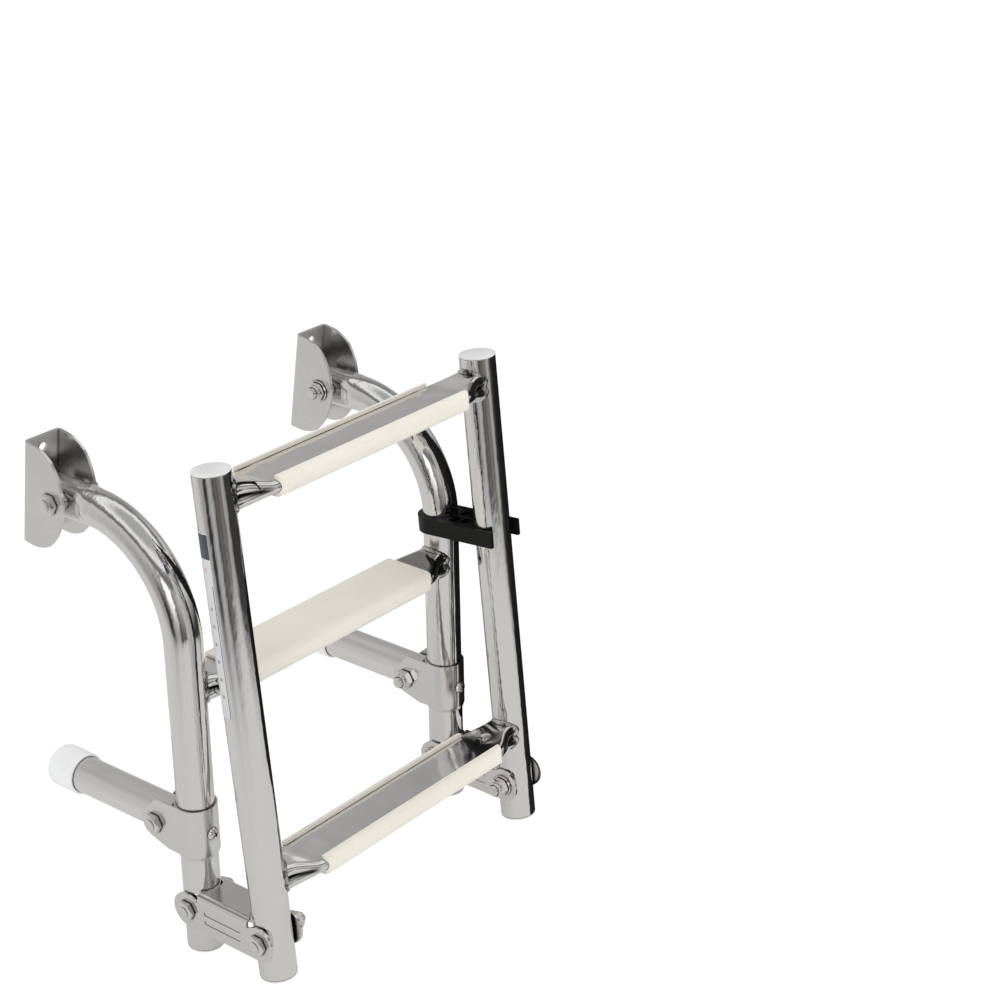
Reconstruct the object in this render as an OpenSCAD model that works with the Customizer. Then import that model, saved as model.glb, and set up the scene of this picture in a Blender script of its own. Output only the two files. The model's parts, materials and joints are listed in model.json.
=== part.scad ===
// Folding boarding ladder: two bent upper rails with one step hang from two
// transom brackets, and a two-step lower section folds up in front of them on
// channel links.  X runs across the rails, +Y points into the transom, +Z is up.

/* [Rails] */
// Distance between the centre lines of the left and right rails
rail_spacing = 254; // [244:2:290]
// Outside diameter of every rail and standoff tube
tube_d = 25.4; // [24.8:0.1:25.4]
// Wall thickness of the tubes
tube_wall = 1.5; // [1.2:0.1:2]
// Distance from the bracket bolt to the upright part of the upper rail
projection = 101; // [98:1:120]
// Centre-line radius of the bend at the top of the upper rail
bend_r = 77; // [70:1:78]
// Drop from the bracket bolt to the upper link bolt
link_drop = 270; // [265:1:300]
// Angle of the upper rails away from the transom
ladder_lean = 9; // [2:0.5:12]

/* [Steps] */
// Drop from the bracket bolt to the top step
top_step_drop = 110; // [108:1:116]
// Distance between steps when the ladder is unfolded
step_pitch = 266; // [262:1:272]
// Half length of the flattened middle of a step
flat_half = 92; // [92:1:96]
// Width of the flattened middle of a step
flat_w = 42; // [38:1:42]
// Thickness of the flattened middle of a step
flat_t = 8.4; // [8:0.1:8.4]
// Length of a tread cover
tread_len = 183; // [170:1:184]
// Width of a tread cover, front to back
tread_w = 48; // [48:1:52]
// Height of a tread cover
tread_h = 14; // [14:0.5:15]

/* [Folding links] */
// Distance between the two bolts of a link
link_pitch = 66; // [66:0.5:72]
// Lean of the folded lower section back towards the transom
fold_lean = 5.2; // [4:0.1:6]
// Tube left below the upper link bolt, end plug included
upper_stub = 34; // [30:0.5:34]
// Tube left past the lower link bolt, end plug included
lower_stub = 29.5; // [26:0.5:29.5]
// Length of the lower rail from its link bolt to the foot cap
lower_len = 325; // [322:1:335]
// Thickness of the link sheet
link_t = 1.8; // [1.5:0.1:2]

/* [Brackets] */
// Distance from the transom face to the bracket bolt
bolt_to_transom = 26; // [26:0.5:30]
// Height of a bracket
bracket_h = 74; // [74:1:80]
// Outside width of a bracket
bracket_w = 30; // [30:0.5:32]
// Thickness of the bracket sheet
bracket_t = 2; // [1.6:0.1:2]
// Distance between the two transom holes of a bracket
bracket_hole_pitch = 56; // [50:1:56]
// Diameter of the transom holes
bracket_hole_d = 6.6; // [5:0.1:7]

/* [Standoffs] */
// Drop from the bracket bolt to the standoff
clamp_drop = 212; // [205:0.5:215]
// Distance from the rail's centre line to the standoff bolt
standoff_bolt_y = 26; // [26:0.5:28]
// Distance from the rail's centre line to the end of the rubber cap
standoff_reach = 135; // [120:1:160]
// Length of the rubber cap
cap_len = 26; // [20:1:30]

/* [Storage clip] */
// Drop from the bracket bolt to the middle of the clip
clip_drop = 80; // [78:0.5:81]
// Height of the clip
clip_h = 12; // [10:0.5:12]
// Tilt of the clip, front end up
clip_tilt = 5; // [3:0.5:5.5]

/* [Hidden] */
$fn = 64;

steel = [0.80, 0.80, 0.79];
dull_steel = [0.66, 0.66, 0.65];
cream = [0.90, 0.86, 0.77];
white = [0.95, 0.95, 0.95];
black = [0.08, 0.08, 0.08];
slate = [0.25, 0.31, 0.38];

half = rail_spacing / 2;
tube_r = tube_d / 2;
bore_r = tube_r - tube_wall;
lip = 1.6;                    // thickness of an end plug's rim
plug_len = 9;                 // how far a plug reaches into its tube
bolt_r = 4;                   // M8 bolts
pivot_r = bolt_r + 0.06;      // running hole on a bolt
clear_r = bolt_r + 0.25;      // clearance hole in sheet metal
hex_af = 13;
hex_r = hex_af / 2 / cos(30);
head_h = 5.3;
nut_h = 6.5;
thin_nut_h = 3.4;             // bracket nuts, which sit close to the ears
nut_collar = 1.6;
washer_r = 8;
washer_t = 1.6;
bolt_tail = 2.4;              // thread left showing past a nut
bolt_rise = 1.5;              // bracket bolt above the middle of the hole pattern
tail = 12;                    // tube end behind the bracket bolt
crimp_half = 9.5;             // half width of the crimped tube end
crimp_from = 14.5;            // where the crimp starts to open out again
crimp_flare = 7;
sheet_gap = 0.3;              // room between a tube and the sheet around it
sleeve_t = 1.4;
sleeve_h = 38;
sleeve_r = tube_r + sheet_gap + sleeve_t;
clamp_half = sleeve_r - 0.2;  // half width across a clamp's ears
standoff_start = standoff_bolt_y - 7;
link_in = tube_r + sheet_gap;
link_out = link_in + link_t;
web_top = 15.2;
end_lobe_r = 4.6;             // radius of one lobe of a step's end
end_lobe_y = 6.9;             // half length of the lobe's straight part
weld_leg = 2.2;               // how far a bead stands on the rail
weld_r = 6.4;                 // rounding of the bead's outline
middle_step_z = top_step_drop + step_pitch - link_drop - link_pitch;
bottom_step_z = middle_step_z + step_pitch;

// ---- frames ------------------------------------------------------------

// Upper ladder: origin on the bracket bolts' line, rails upright
module ladder_frame() {
    translate([0, -bolt_to_transom, bolt_rise]) rotate([-ladder_lean, 0, 0]) children();
}

// Links: origin on the upper link bolts' line
module link_frame() {
    ladder_frame() translate([0, -projection, -link_drop]) children();
}

// Lower section: origin on the lower link bolts' line, rails upright
module lower_frame() {
    link_frame() translate([0, -link_pitch, 0]) rotate([-fold_lean, 0, 0]) children();
}

// One standoff clamp: origin on its rail's centre line, level with the standoff
module clamp_frame(side) {
    ladder_frame() translate([side * half, -projection, -clamp_drop]) children();
}

// Turns a shape made along +Z to point along side * X
module along_x(side) {
    rotate([0, side * 90, 0]) children();
}

// Turns a YZ outline drawn in the XY plane into a slab of thickness w about x = 0
module yz_slab(w) {
    rotate([90, 0, 90]) linear_extrude(height = w, center = true) children();
}

module x_hole(r, w) {
    rotate([0, 90, 0]) cylinder(r = r, h = w, center = true);
}

// ---- fasteners ---------------------------------------------------------

// Hexagon of the bolt size, edges chamfered on the face away from z = 0
module hex_block(h) {
    intersection() {
        cylinder(r = hex_r, h = h, $fn = 6);
        union() {
            cylinder(r = hex_r + 0.1, h = h - 1);
            translate([0, 0, h - 1]) cylinder(r1 = hex_r + 0.1, r2 = hex_af / 2 - 0.5, h = 1);
        }
    }
}

// Bolt with its head outboard, its seat at sheet_x from the rail's centre line
module hex_bolt(side, sheet_x, washer = washer_t, nut = nut_h) {
    shank = 2 * sheet_x + washer + nut + nut_collar + bolt_tail;
    translate([side * sheet_x, 0, 0]) {
        along_x(side) hex_block(head_h);
        along_x(-side) {
            cylinder(r = bolt_r, h = shank - 0.8);
            translate([0, 0, shank - 0.8]) cylinder(r1 = bolt_r, r2 = bolt_r - 0.8, h = 0.8);
        }
    }
}

// Locking nut on the inboard side, outside its washer if it has one
module lock_nut(side, sheet_x, washer = washer_t, nut = nut_h) {
    translate([-side * (sheet_x + washer), 0, 0]) along_x(-side) difference() {
        union() {
            hex_block(nut);
            translate([0, 0, nut - 0.5]) cylinder(r = 5.6, h = nut_collar - 0.5);
            translate([0, 0, nut + nut_collar - 1]) cylinder(r1 = 5.6, r2 = 5, h = 1);
        }
        translate([0, 0, -1]) cylinder(r = bolt_r + 0.05, h = nut + 5);
    }
}

module flat_washer(side, sheet_x) {
    translate([-side * sheet_x, 0, 0]) along_x(-side) difference() {
        cylinder(r = washer_r, h = washer_t);
        translate([0, 0, -1]) cylinder(r = bolt_r + 0.3, h = washer_t + 2);
    }
}

// ---- transom brackets --------------------------------------------------

// D-shaped side outline: y from the bolt towards the transom, z from mid height
module ear_outline() {
    front = -12.3;
    corner = 30;
    bulge = 46;
    hh = bracket_h / 2;
    intersection() {
        union() {
            translate([front + corner, -hh]) square([bolt_to_transom - front - corner, bracket_h]);
            translate([front, -hh + corner]) square([corner + 1, bracket_h - 2 * corner]);
            for (s = [-1, 1]) translate([front + corner, s * (hh - corner)]) circle(r = corner);
        }
        translate([front + bulge, 0]) circle(r = bulge, $fn = 128);
    }
}

module bracket(side) {
    bend = 3;
    inner_w = bracket_w - 2 * bracket_t;
    color(dull_steel) translate([side * half, 0, 0]) difference() {
        intersection() {
            translate([0, -bolt_to_transom, 0]) yz_slab(bracket_w) ear_outline();
            linear_extrude(height = bracket_h + 2, center = true) union() {
                translate([-bracket_w / 2, -60]) square([bracket_w, 60 - bend]);
                translate([-bracket_w / 2 + bend, -bend - 1]) square([bracket_w - 2 * bend, bend + 1]);
                for (s = [-1, 1]) translate([s * (bracket_w / 2 - bend), -bend]) circle(r = bend);
            }
        }
        translate([-inner_w / 2, -60 - bracket_t, -bracket_h]) cube([inner_w, 60, 2 * bracket_h]);
        translate([0, -bolt_to_transom, bolt_rise]) x_hole(clear_r, bracket_w + 10);
        for (s = [-1, 1]) translate([0, 1, s * bracket_hole_pitch / 2]) rotate([90, 0, 0])
            cylinder(r = bracket_hole_d / 2, h = bracket_t + 2);
    }
}

// Places its children on the bracket bolt of one side, in the part's frame
module at_bracket_bolt(side) {
    translate([side * half, -bolt_to_transom, bolt_rise]) children();
}

// Spacers that centre the crimped tube end between the ears
module bracket_bush(side, end) {
    x0 = crimp_half + 0.1;
    at_bracket_bolt(side) along_x(end) translate([0, 0, x0]) difference() {
        cylinder(r = 7, h = bracket_w / 2 - bracket_t - x0);
        translate([0, 0, -1]) cylinder(r = clear_r, h = 10);
    }
}

// ---- upper section -----------------------------------------------------

// The rail's outer shape, or its bore, with the end behind the bolt pinched to w
module upper_rail_shape(r, w, over) {
    bottom = link_drop + upper_stub - lip;
    bend_y = projection - bend_r;
    translate([0, -projection, -bottom - over]) cylinder(r = r, h = bottom + over - bend_r);
    translate([0, -bend_y, -bend_r]) rotate([90, 0, 90]) rotate([0, 0, 90])
        rotate_extrude(angle = 90, $fn = 96) translate([bend_r, 0]) circle(r = r);
    intersection() {
        translate([0, tail + over, 0]) rotate([90, 0, 0]) cylinder(r = r, h = tail + over + bend_y);
        linear_extrude(height = 3 * tube_d, center = true) polygon([
            [-w, tail + over], [w, tail + over], [w, -crimp_from],
            [r + 1, -crimp_from - crimp_flare], [r + 1, -projection],
            [-r - 1, -projection], [-r - 1, -crimp_from - crimp_flare], [-w, -crimp_from]]);
    }
}

module upper_rail(side) {
    color(steel) ladder_frame() translate([side * half, 0, 0]) difference() {
        upper_rail_shape(tube_r, crimp_half, 0);
        upper_rail_shape(bore_r, crimp_half - tube_wall, 1);
        x_hole(pivot_r, 60);
        translate([0, -projection, -link_drop]) x_hole(pivot_r, 60);
    }
}

// Plug for a tube end at z = 0 with the tube above it
module end_plug() {
    translate([0, 0, -lip]) cylinder(r = tube_r - 0.2, h = lip);
    cylinder(r = bore_r - 0.1, h = plug_len);
}

// ---- steps -------------------------------------------------------------

module stadium(w, t) {
    square([w - t, t], center = true);
    for (s = [-1, 1]) translate([s * (w - t) / 2, 0]) circle(d = t);
}

// Prism along X through the YZ outline given
module x_prism(x0, x1) {
    translate([x0, 0, 0]) rotate([90, 0, 90]) linear_extrude(height = x1 - x0) children();
}

// One lobe of the pinched end: flat middle section blended to a small oval
module step_lobe(end, level) {
    edge = (flat_w - flat_t) / 2;
    hull() {
        for (s = [-1, 1]) translate([end * flat_half, s * edge, 0])
            along_x(end) cylinder(d = flat_t, h = 0.1, $fn = 32);
        for (s = [-1, 1]) translate([end * (half - tube_r / 2), s * end_lobe_y, level])
            along_x(end) cylinder(r = end_lobe_r, h = 1, $fn = 32);
    }
}

module step_end(end) {
    for (s = [-1, 1]) step_lobe(end, s * (end_lobe_r - 0.1));
}

module step_bar() {
    difference() {
        union() {
            x_prism(-flat_half - 0.05, flat_half + 0.05) stadium(flat_w, flat_t);
            for (end = [-1, 1]) step_end(end);
        }
        x_prism(-flat_half + 4, flat_half - 4) stadium(flat_w - 2 * tube_wall, flat_t - 2 * tube_wall);
        x_hole(1.5, rail_spacing);
        for (side = [-1, 1]) translate([side * half, 0, -50]) cylinder(r = tube_r + 0.02, h = 100);
    }
}

// Bead round the joint of a step's end and the rail, following both surfaces
module weld_bead(side) {
    difference() {
        intersection() {
            translate([side * half, 0, 0]) cylinder(r = tube_r + weld_leg, h = 60, center = true);
            x_prism(min(0, side * half), max(0, side * half)) for (s = [-1, 1])
                translate([0, s * 4]) stadium(2 * (end_lobe_y + 1.3 + weld_r), 2 * weld_r);
        }
        translate([side * half, 0, 0]) cylinder(r = tube_r + 0.02, h = 70, center = true);
        step_end(side);
    }
}

// Tread cover: a channel hooked over both long edges of the flat bar
module tread_outline() {
    r = 6.4;
    slot_t = flat_t + 0.4;
    difference() {
        union() {
            square([tread_w, tread_h - 2 * r], center = true);
            square([tread_w - 2 * r, tread_h], center = true);
            for (i = [-1, 1]) for (j = [-1, 1])
                translate([i * (tread_w / 2 - r), j * (tread_h / 2 - r)]) circle(r = r);
        }
        stadium(flat_w + 0.6, slot_t);
        translate([-flat_w / 2 + 4, -tread_h]) square([flat_w - 8, tread_h]);
    }
}

module tread_cover() {
    r = 7;
    intersection() {
        x_prism(-tread_len / 2, tread_len / 2) tread_outline();
        linear_extrude(height = 2 * tread_h, center = true) union() {
            square([tread_len - 2 * r, tread_w], center = true);
            square([tread_len, tread_w - 2 * r], center = true);
            for (i = [-1, 1]) for (j = [-1, 1])
                translate([i * (tread_len / 2 - r), j * (tread_w / 2 - r)]) circle(r = r);
        }
    }
}

// The step and tread of the lower section lie upside down while it is folded
module in_lower_step(z) {
    lower_frame() translate([0, 0, z]) rotate([180, 0, 0]) children();
}

module in_top_step() {
    ladder_frame() translate([0, -projection, -top_step_drop]) children();
}

// ---- storage clip ------------------------------------------------------

clip_wall = 3.4;
clip_half = tube_r + clip_wall;
clip_reach = 60;
clip_seam = 12;
cradle_y = link_pitch - (link_drop - clip_drop) * tan(fold_lean);

module clip_outline() {
    circle(r = clip_half);
    translate([-clip_half, -clip_reach + 3]) square([2 * clip_half, clip_reach - 3]);
    translate([-clip_half, -clip_reach]) square([clip_half - tube_r + 0.6, 4]);
    translate([tube_r - 0.6, -clip_reach]) square([clip_half - tube_r + 0.6, 4]);
}

module clip_solid() {
    pocket = [8.4, 7];
    difference() {
        rotate([-clip_tilt, 0, 0]) difference() {
            translate([0, 0, -clip_h / 2]) linear_extrude(height = clip_h) clip_outline();
            for (i = [-1, 1]) for (j = [0, 1])
                translate([i * 6 - pocket[0] / 2, -20 - j * 9 - pocket[1] / 2, -clip_h / 2 + 2])
                    cube([pocket[0], pocket[1], clip_h]);
            translate([-link_in - 0.2, -clip_reach - 5, -clip_h])
                cube([2 * link_in + 0.4, clip_reach + 5 - cradle_y, 2 * clip_h]);
        }
        cylinder(r = tube_r + 0.05, h = 50, center = true);
        translate([0, -cradle_y, 0]) rotate([-fold_lean, 0, 0])
            cylinder(r = link_in + 0.2, h = 60, center = true);
    }
}

module clip_half_space(front) {
    translate([-50, front ? -100 - clip_seam : -clip_seam, -50]) cube([100, 100, 100]);
}

module clip_frame() {
    ladder_frame() translate([half, -projection, -clip_drop]) children();
}

// ---- folding links -----------------------------------------------------

// Side outline of a link: y towards the transom, z up, origin at the upper bolt
module link_outline() {
    r = 12.5;
    flank = 10;
    circle(r = r);
    translate([-link_pitch, 0]) circle(r = r);
    translate([-link_pitch, -r]) square([link_pitch, 2 * r - 3]);
    translate([-link_pitch + flank, -r]) square([link_pitch - 2 * flank, r + web_top]);
}

// Channel section: outside with two rounded top corners, or the inside
module channel_outline(half_w, top, r) {
    translate([-half_w, -30]) square([2 * half_w, 30 + top - r]);
    translate([-half_w + r, -30]) square([2 * (half_w - r), 30 + top]);
    for (s = [-1, 1]) translate([s * (half_w - r), top - r]) circle(r = r);
}

module link(side) {
    groove = [34, 3];
    color(dull_steel) link_frame() translate([side * half, 0, 0]) difference() {
        intersection() {
            yz_slab(2 * link_out) link_outline();
            rotate([90, 0, 0]) linear_extrude(height = 3 * link_pitch, center = true)
                channel_outline(link_out, web_top, 4.5);
        }
        rotate([90, 0, 0]) linear_extrude(height = 4 * link_pitch, center = true)
            channel_outline(link_in, web_top - link_t, 2.7);
        for (y = [0, -link_pitch]) {
            translate([0, y, 0]) x_hole(clear_r, 60);
            intersection() {
                translate([0, y, 0]) cylinder(r = tube_r + 1.9, h = 30);
                translate([-link_in, -link_pitch * 2, 0]) cube([2 * link_in, link_pitch * 3, 30]);
            }
        }
        for (s = [-1, 1]) for (z = [-3.4, 3.4])
            translate([s * (link_out + 2 - 0.5), -link_pitch / 2, z])
                yz_slab(4) stadium(groove[0], groove[1]);
    }
}

// Places its children on each of a link's two bolts
module at_link_bolts(side) {
    link_frame() for (y = [0, -link_pitch]) translate([side * half, y, 0]) children();
}

// ---- lower section -----------------------------------------------------

module lower_rail(side) {
    start = -lower_stub + lip;
    color(steel) lower_frame() translate([side * half, 0, 0]) difference() {
        translate([0, 0, start]) cylinder(r = tube_r, h = lower_len - start);
        translate([0, 0, start - 1]) cylinder(r = bore_r, h = lower_len - start + 2);
        x_hole(pivot_r, 60);
    }
}

// Domed cap pressed into the free end of a lower rail
module foot_cap() {
    rise = 2.4;
    dome_r = (tube_r * tube_r + rise * rise) / (2 * rise);
    intersection() {
        cylinder(r = tube_r, h = rise + 1);
        translate([0, 0, rise - dome_r]) sphere(r = dome_r);
    }
    translate([0, 0, -plug_len]) cylinder(r = bore_r - 0.1, h = plug_len);
}

// Thin wrap-round sticker on the left lower rail
module label_band() {
    label_from = 163;
    label_len = 126;
    label_arc = 110;
    translate([-half, 0, label_from]) rotate([0, 0, 75]) rotate_extrude(angle = label_arc)
        translate([tube_r + 0.02, 0]) square([0.18, label_len]);
}

// ---- standoffs ---------------------------------------------------------

// Side outline of a clamp's ears: y away from the rail, z up
module clamp_ear_outline() {
    translate([standoff_bolt_y, 0]) circle(r = 12);
    polygon([[0, sleeve_h / 2], [24, sleeve_h / 2], [31, 10.9], [31, -8], [29, -11.6],
        [14, -sleeve_h / 2 + 3], [0, -sleeve_h / 2 + 3]]);
}

module clamp(side) {
    neck = 3;
    color(dull_steel) clamp_frame(side) difference() {
        union() {
            translate([0, 0, -sleeve_h / 2 + neck]) cylinder(r = sleeve_r, h = sleeve_h - neck);
            translate([0, 0, -sleeve_h / 2]) cylinder(r1 = sleeve_r - 1, r2 = sleeve_r, h = neck);
            difference() {
                yz_slab(2 * clamp_half) clamp_ear_outline();
                translate([-sleeve_r + sleeve_t, 0, -50]) cube([2 * (sleeve_r - sleeve_t), 100, 100]);
            }
        }
        cylinder(r = sleeve_r - sleeve_t, h = 100, center = true);
        translate([0, standoff_bolt_y, 0]) x_hole(clear_r, 60);
        rotate([90, 0, 0]) cylinder(r = 2.6, h = 30);
    }
}

// Pan-head set screw with a cross recess in the front of a clamp
module clamp_screw(side) {
    head_r = 4.6;
    color(steel) clamp_frame(side) rotate([90, 0, 0]) difference() {
        union() {
            translate([0, 0, tube_r + 0.08]) cylinder(r = 2.5, h = sleeve_t + 0.6);
            translate([0, 0, sleeve_r]) intersection() {
                cylinder(r = head_r, h = 3.4);
                translate([0, 0, 3.4 - 5.2]) sphere(r = 5.2);
            }
        }
        for (a = [0, 90]) rotate([0, 0, a + 20])
            translate([-2.4, -0.5, sleeve_r + 1.9]) cube([4.8, 1, 5]);
    }
}

module at_standoff_bolt(side) {
    clamp_frame(side) translate([0, standoff_bolt_y, 0]) children();
}

module clamp_bolt(side) {
    color(steel) at_standoff_bolt(side) hex_bolt(side, clamp_half, 0);
}

module clamp_nut(side) {
    color(steel) at_standoff_bolt(side) lock_nut(side, clamp_half, 0);
}

module standoff_tube(side) {
    end = standoff_reach - 2.6;
    color(steel) clamp_frame(side) difference() {
        translate([0, standoff_start, 0]) rotate([-90, 0, 0]) cylinder(r = tube_r, h = end - standoff_start);
        translate([0, standoff_start - 1, 0]) rotate([-90, 0, 0]) cylinder(r = bore_r, h = end);
        translate([0, standoff_bolt_y, 0]) x_hole(pivot_r, 60);
    }
}

module standoff_cap(side) {
    cap_r = tube_r + 2.1;
    round_r = 3;
    color(white) clamp_frame(side) translate([0, standoff_reach - cap_len, 0]) rotate([-90, 0, 0])
        difference() {
            union() {
                cylinder(r = cap_r, h = cap_len - round_r);
                cylinder(r = cap_r - round_r, h = cap_len);
                translate([0, 0, cap_len - round_r]) rotate_extrude()
                    translate([cap_r - round_r, 0]) circle(r = round_r);
            }
            translate([0, 0, -1]) cylinder(r = tube_r + 0.05, h = cap_len - 2.5 + 1);
        }
}

// ---- nodes -------------------------------------------------------------

module left_bracket() { bracket(-1); }
module right_bracket() { bracket(1); }
module bracket_bolts() {
    color(steel) for (side = [-1, 1]) at_bracket_bolt(side)
        hex_bolt(side, bracket_w / 2, nut = thin_nut_h);
}
module bracket_nuts() {
    color(steel) for (side = [-1, 1]) at_bracket_bolt(side)
        lock_nut(side, bracket_w / 2, nut = thin_nut_h);
}
module bracket_washers() {
    color(steel) for (side = [-1, 1]) at_bracket_bolt(side) flat_washer(side, bracket_w / 2);
}
module bracket_bushes() {
    color(dull_steel) for (side = [-1, 1]) for (end = [-1, 1]) bracket_bush(side, end);
}
module left_upper_rail() { upper_rail(-1); }
module right_upper_rail() { upper_rail(1); }
module top_step() { color(steel) in_top_step() step_bar(); }
module top_tread() { color(cream) in_top_step() tread_cover(); }
module top_step_welds() {
    color(dull_steel) in_top_step() for (side = [-1, 1]) weld_bead(side);
}
module upper_rail_plugs() {
    color(white) ladder_frame() for (side = [-1, 1])
        translate([side * half, -projection, -link_drop - upper_stub + lip]) end_plug();
}
module clip_body() {
    color(black) clip_frame() intersection() {
        clip_solid();
        clip_half_space(true);
    }
}
module clip_clasp() {
    color(black) clip_frame() intersection() {
        clip_solid();
        clip_half_space(false);
    }
}
module left_link() { link(-1); }
module right_link() { link(1); }
module link_bolts() {
    color(steel) for (side = [-1, 1]) at_link_bolts(side) hex_bolt(side, link_out);
}
module link_nuts() {
    color(steel) for (side = [-1, 1]) at_link_bolts(side) lock_nut(side, link_out);
}
module link_washers() {
    color(steel) for (side = [-1, 1]) at_link_bolts(side) flat_washer(side, link_out);
}
module left_lower_rail() { lower_rail(-1); }
module right_lower_rail() { lower_rail(1); }
module middle_step() { color(steel) in_lower_step(middle_step_z) step_bar(); }
module middle_tread() { color(cream) in_lower_step(middle_step_z) tread_cover(); }
module middle_step_welds() {
    color(dull_steel) in_lower_step(middle_step_z) for (side = [-1, 1]) weld_bead(side);
}
module bottom_step() { color(steel) in_lower_step(bottom_step_z) step_bar(); }
module bottom_tread() { color(cream) in_lower_step(bottom_step_z) tread_cover(); }
module bottom_step_welds() {
    color(dull_steel) in_lower_step(bottom_step_z) for (side = [-1, 1]) weld_bead(side);
}
module foot_caps() {
    color(white) lower_frame() for (side = [-1, 1])
        translate([side * half, 0, lower_len]) foot_cap();
}
module lower_rail_plugs() {
    color(white) lower_frame() for (side = [-1, 1])
        translate([side * half, 0, -lower_stub + lip]) end_plug();
}
module rail_label() { color(slate) lower_frame() label_band(); }
module left_clamp() { clamp(-1); }
module right_clamp() { clamp(1); }
module left_clamp_screw() { clamp_screw(-1); }
module right_clamp_screw() { clamp_screw(1); }
module left_clamp_bolt() { clamp_bolt(-1); }
module right_clamp_bolt() { clamp_bolt(1); }
module left_clamp_nut() { clamp_nut(-1); }
module right_clamp_nut() { clamp_nut(1); }
module left_standoff_tube() { standoff_tube(-1); }
module right_standoff_tube() { standoff_tube(1); }
module left_standoff_cap() { standoff_cap(-1); }
module right_standoff_cap() { standoff_cap(1); }

left_bracket();
right_bracket();
bracket_bolts();
bracket_nuts();
bracket_washers();
bracket_bushes();
left_upper_rail();
right_upper_rail();
top_step();
top_tread();
top_step_welds();
upper_rail_plugs();
clip_body();
clip_clasp();
left_link();
right_link();
link_bolts();
link_nuts();
link_washers();
left_lower_rail();
right_lower_rail();
middle_step();
middle_tread();
middle_step_welds();
bottom_step();
bottom_tread();
bottom_step_welds();
foot_caps();
lower_rail_plugs();
rail_label();
left_clamp();
right_clamp();
left_clamp_screw();
right_clamp_screw();
left_clamp_bolt();
right_clamp_bolt();
left_clamp_nut();
right_clamp_nut();
left_standoff_tube();
right_standoff_tube();
left_standoff_cap();
right_standoff_cap();
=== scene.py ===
"""Looks of the folding boarding ladder: detailed pieces, materials, studio and camera.

Every length is in metres.  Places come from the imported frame: the joints give the
ladder, link and lower-section frames, and the nodes' boxes give the tube sizes.
"""

import json
import math
import random

import bmesh
import bpy
from mathutils import Matrix, Vector, noise


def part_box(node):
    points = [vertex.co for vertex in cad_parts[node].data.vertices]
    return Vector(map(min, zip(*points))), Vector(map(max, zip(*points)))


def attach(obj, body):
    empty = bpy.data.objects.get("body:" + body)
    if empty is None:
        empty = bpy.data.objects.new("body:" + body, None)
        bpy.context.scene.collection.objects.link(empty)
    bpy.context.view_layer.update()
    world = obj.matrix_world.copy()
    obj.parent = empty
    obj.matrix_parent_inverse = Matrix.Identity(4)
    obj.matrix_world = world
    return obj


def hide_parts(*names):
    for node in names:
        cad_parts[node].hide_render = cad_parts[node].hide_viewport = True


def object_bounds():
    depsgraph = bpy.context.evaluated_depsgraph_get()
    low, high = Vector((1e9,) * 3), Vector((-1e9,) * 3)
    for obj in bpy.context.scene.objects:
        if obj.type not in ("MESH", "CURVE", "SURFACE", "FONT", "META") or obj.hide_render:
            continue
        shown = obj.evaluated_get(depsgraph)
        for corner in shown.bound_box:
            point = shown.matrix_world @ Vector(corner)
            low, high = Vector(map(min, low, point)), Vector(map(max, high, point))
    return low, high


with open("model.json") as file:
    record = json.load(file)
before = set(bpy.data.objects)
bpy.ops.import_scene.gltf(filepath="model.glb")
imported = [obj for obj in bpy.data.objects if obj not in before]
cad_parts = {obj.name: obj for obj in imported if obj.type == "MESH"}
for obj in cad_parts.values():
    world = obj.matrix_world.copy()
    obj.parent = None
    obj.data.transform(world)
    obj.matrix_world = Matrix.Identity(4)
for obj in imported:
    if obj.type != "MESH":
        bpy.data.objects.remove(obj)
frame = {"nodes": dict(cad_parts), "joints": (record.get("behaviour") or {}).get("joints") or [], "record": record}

CAD_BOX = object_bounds()
NODES = frame["nodes"]
JOINTS = {joint["name"]: joint for joint in frame["joints"]}
BODIES = frame["record"]["behaviour"]["bodies"]
BODY_OF = {node: body for body, nodes in BODIES.items() for node in nodes}
SIDES = {"left": -1, "right": 1}

# ---- sizes read from the frame -------------------------------------------------

rail_low, rail_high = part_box("right_lower_rail")
HALF = (rail_low.x + rail_high.x) / 2            # rail centre line from the middle
TUBE_R = (rail_high.x - rail_low.x) / 2
WALL = 0.0015                                    # tube wall, which the frame doesn't give
BORE_R = TUBE_R - WALL

SWING_AXIS = Vector(JOINTS["ladder_swing"]["pos_m"])
LINK_AXIS = Vector(JOINTS["link_fold"]["pos_m"])
LOWER_AXIS = Vector(JOINTS["lower_fold"]["pos_m"])
LEAN = math.asin(JOINTS["left_clamp_slide"]["axis"][1])
FOLD_LEAN = math.radians(JOINTS["lower_fold"]["range_deg"][1] - 90)

LEANING = Matrix.Rotation(-LEAN, 4, "X")
LADDER = Matrix.Translation(SWING_AXIS) @ LEANING
LOWER = Matrix.Translation(LOWER_AXIS) @ Matrix.Rotation(-LEAN - FOLD_LEAN, 4, "X")
PROJECTION = -(LADDER.inverted() @ LINK_AXIS).y  # bracket bolt to the upright rail


def span(node, matrix):
    """Lowest and highest corner of a CAD node in a local frame."""
    inverse = matrix.inverted()
    points = [inverse @ v.co for v in NODES[node].data.vertices]
    return (Vector(min(p[i] for p in points) for i in range(3)),
            Vector(max(p[i] for p in points) for i in range(3)))


def middle(node, matrix):
    """Middle of a CAD node's box in a local frame."""
    low, high = span(node, matrix)
    return (low + high) / 2


def inner_end(node):
    """How far from the middle of the ladder a node's pieces start."""
    return min(abs(v.co.x) for v in NODES[node].data.vertices)


def outer_end(node):
    """How far from the middle of the ladder a node reaches."""
    return max(abs(corner.x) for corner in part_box(node))


# ---- mesh building ---------------------------------------------------------------

SHARP_ANGLE = 35         # degrees between two faces from which their edge is sharp
BEVEL_STEPS = 3
SEAM = 1e-6              # CAD vertices nearer than this are one
FLAT_ANGLE = 0.6         # degrees below which CAD faces are merged


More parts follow.
